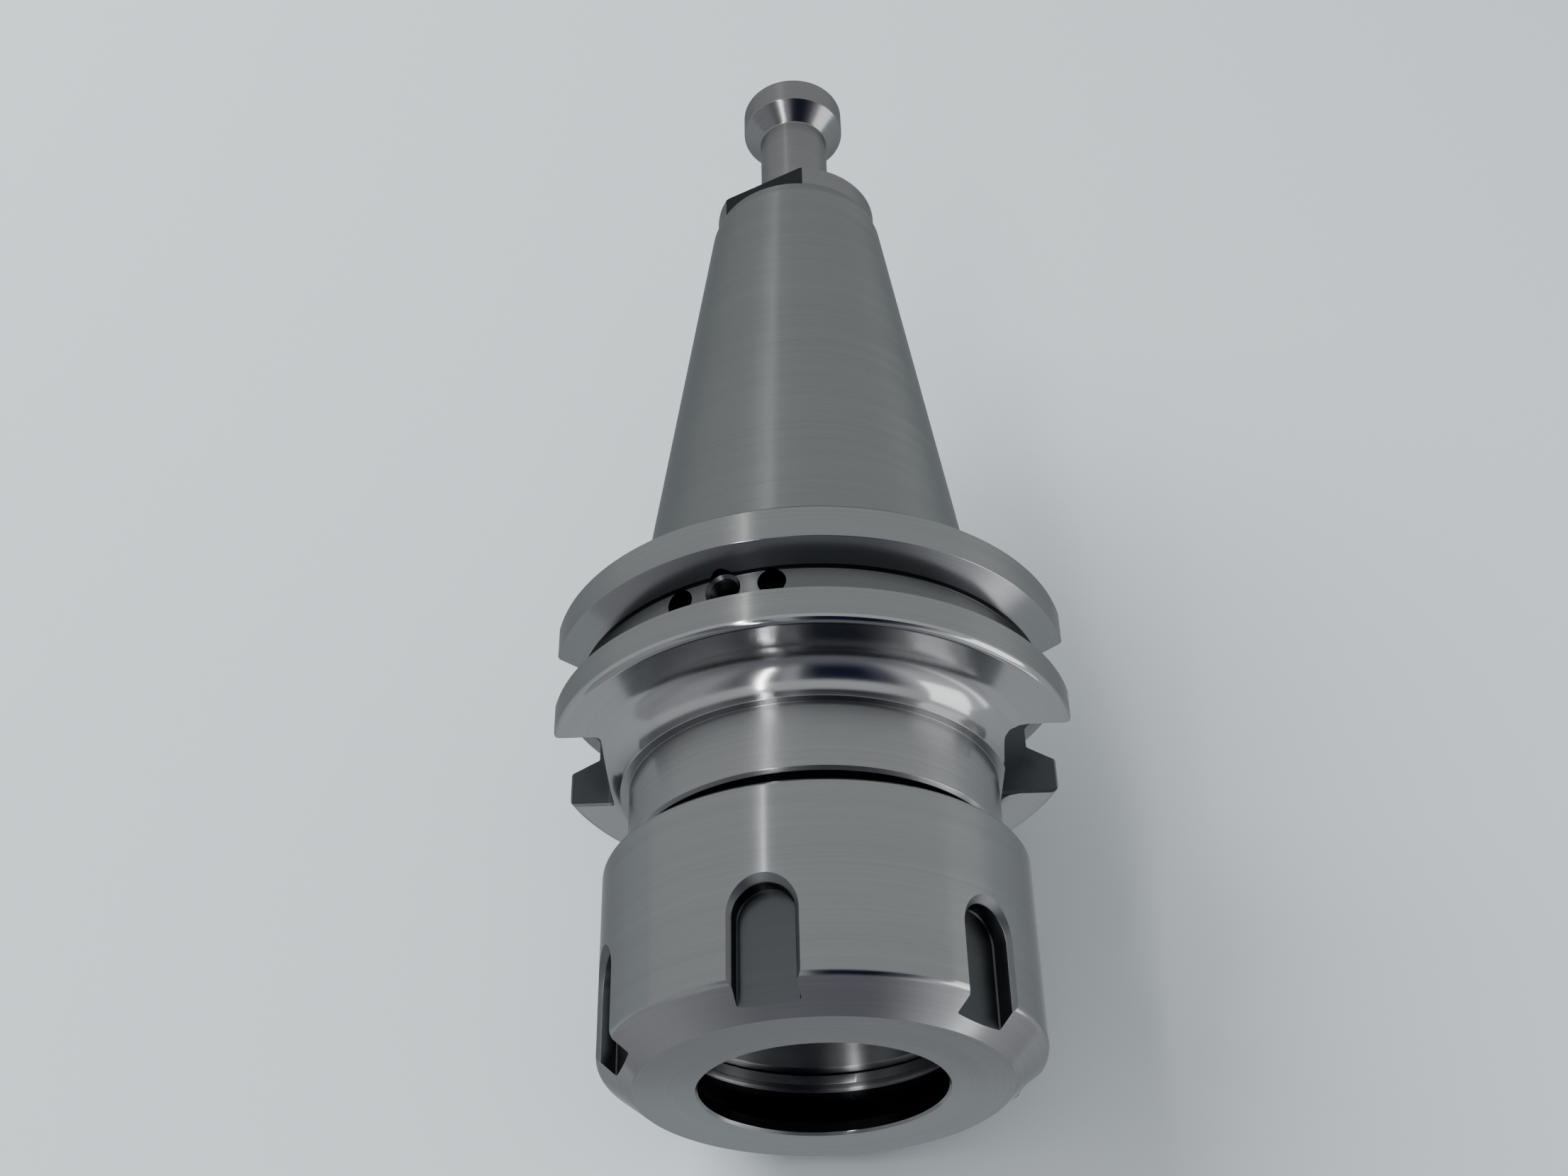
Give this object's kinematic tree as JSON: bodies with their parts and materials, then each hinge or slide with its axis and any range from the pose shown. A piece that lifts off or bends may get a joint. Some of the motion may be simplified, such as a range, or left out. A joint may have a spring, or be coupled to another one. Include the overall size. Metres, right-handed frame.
{
  "type": "collet chuck holder",
  "caption": "Steep-taper milling chuck: a taper shank with grooved flange and retention knob carries a collet socket closed by a slotted clamping nut.",
  "frame": {"origin": "middle of the clamping nut's flat front face, on which the holder stands", "axes": "+Z along the spindle axis from the nut towards the retention knob; +X through the deeper drive slot; -Y towards the side with the three drillings in the flange groove"},
  "size_m": [0.0614, 0.0634, 0.1599],
  "materials": {
    "ground_steel": "ground taper, fine-turned flange and neck",
    "nut_steel": "satin ground, milled slots",
    "knob_steel": "ground",
    "screw_steel": "dark, as rolled"
  },
  "bodies": {
    "holder": {"holder_body": "ground_steel", "retention_knob": "knob_steel", "set_screw": "screw_steel"},
    "nut": {"clamping_nut": "nut_steel"}
  },
  "joints": [
    {"name": "nut_turn", "type": "hinge", "parent": "holder", "child": "nut", "pos_m": [0, 0, 0.0127], "axis": [0, 0, 1], "continuous": true}
  ]
}
